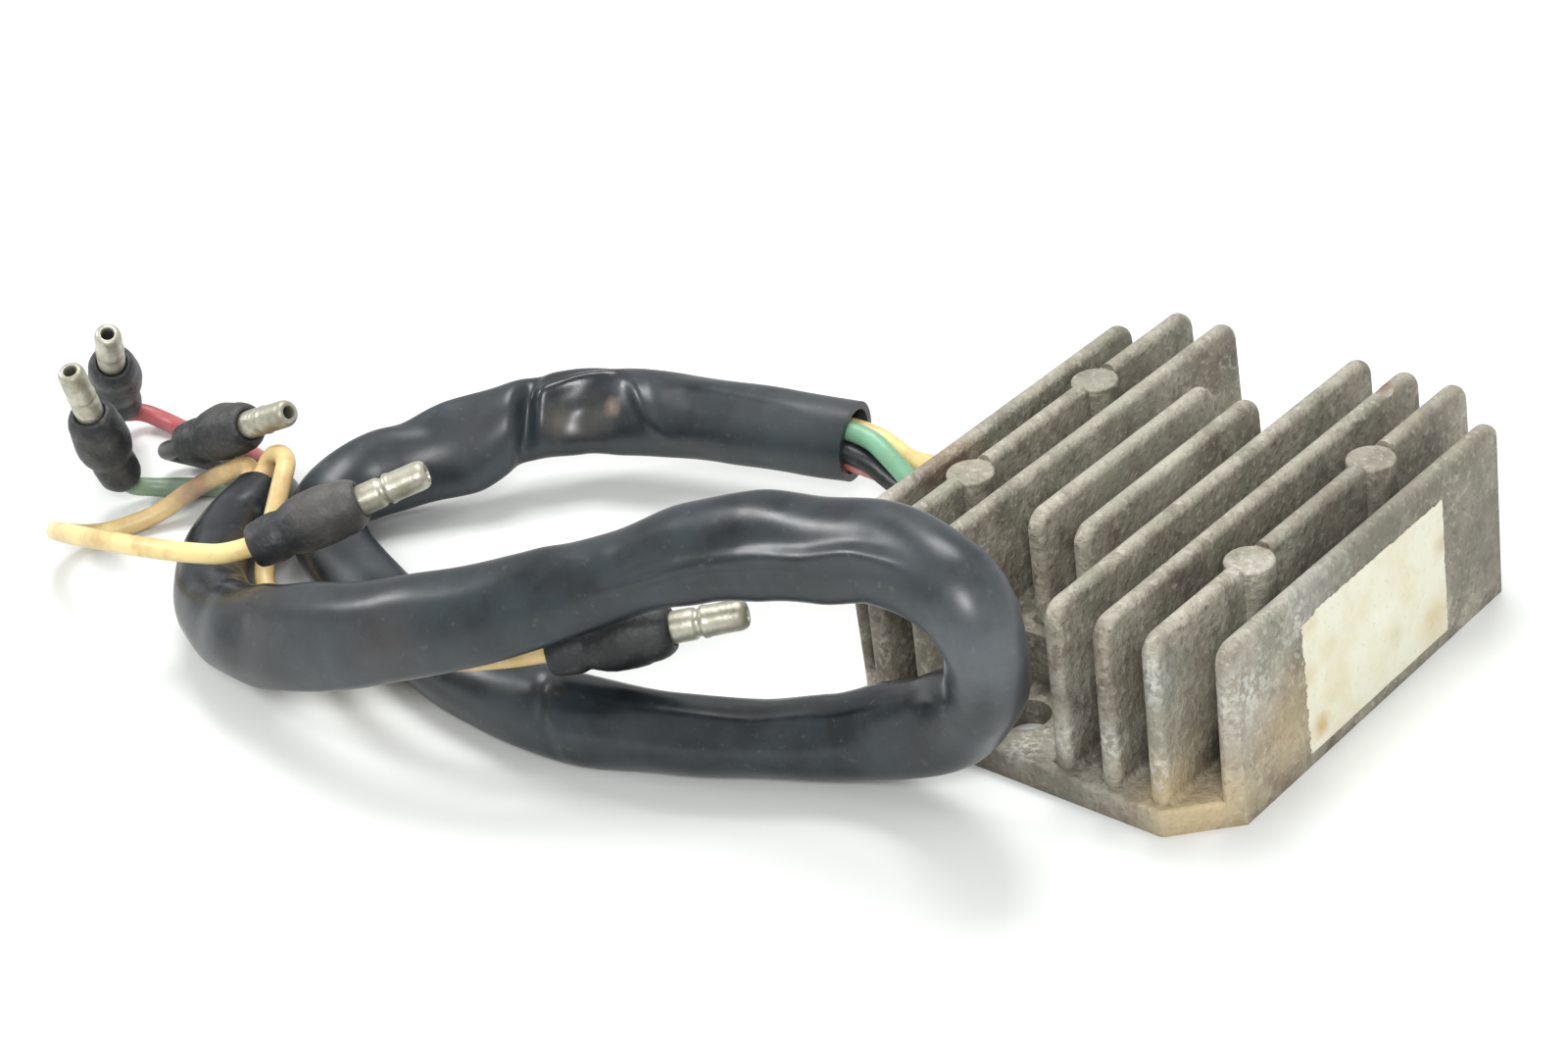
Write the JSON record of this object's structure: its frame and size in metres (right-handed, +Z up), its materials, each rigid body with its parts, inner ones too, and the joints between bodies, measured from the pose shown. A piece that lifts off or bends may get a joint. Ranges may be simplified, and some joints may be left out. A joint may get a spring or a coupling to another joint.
{
  "type": "voltage regulator rectifier",
  "caption": "Finned cast block with potted underside and a looped, sleeved harness that ends in booted bullet terminals; regulates and rectifies alternator output.",
  "frame": {"origin": "centre of the heat sink's flat underside", "axes": "+X across the fins towards the labelled one, +Y along the fins away from the harness loop, +Z up from the underside to the fin crests"},
  "size_m": [0.2107, 0.1185, 0.0442],
  "materials": {
    "cast_aluminium": "die-cast, oxidised and dirty",
    "potting_resin": "poured epoxy",
    "label_paper": "faded, stained",
    "sleeve_vinyl": "extruded soft vinyl tube, dusty",
    "board_laminate": "laminate",
    "package_epoxy": "moulded epoxy",
    "component_lacquer": "lacquered",
    "lead_red": "extruded vinyl insulation",
    "lead_green": "extruded vinyl insulation, dirty",
    "lead_black": "extruded vinyl insulation",
    "lead_yellow": "extruded vinyl insulation, dirty",
    "boot_vinyl": "dipped soft vinyl",
    "bullet_tinned_brass": "tinned, dull"
  },
  "bodies": {
    "root": {"heat_sink": "cast_aluminium", "potting": "potting_resin", "label": "label_paper", "harness_sleeve": "sleeve_vinyl", "circuit_board": "board_laminate", "thyristor_left": "package_epoxy", "thyristor_right": "package_epoxy", "rectifier_diode_left": "package_epoxy", "rectifier_diode_right": "package_epoxy", "gate_resistors": "component_lacquer", "zener_diode": "package_epoxy", "control_transistor": "package_epoxy", "filter_capacitor": "component_lacquer", "unit_lead_red": "lead_red", "plug_lead_red": "lead_red", "boot_red": "boot_vinyl", "bullet_red": "bullet_tinned_brass", "unit_lead_green": "lead_green", "plug_lead_green": "lead_green", "boot_green": "boot_vinyl", "bullet_green": "bullet_tinned_brass", "unit_lead_black": "lead_black", "plug_lead_black": "lead_black", "boot_black": "boot_vinyl", "bullet_black": "bullet_tinned_brass", "unit_lead_yellow_1": "lead_yellow", "plug_lead_yellow_1": "lead_yellow", "boot_yellow_1": "boot_vinyl", "bullet_yellow_1": "bullet_tinned_brass", "unit_lead_yellow_2": "lead_yellow", "plug_lead_yellow_2": "lead_yellow", "boot_yellow_2": "boot_vinyl", "bullet_yellow_2": "bullet_tinned_brass"}
  },
  "joints": []
}
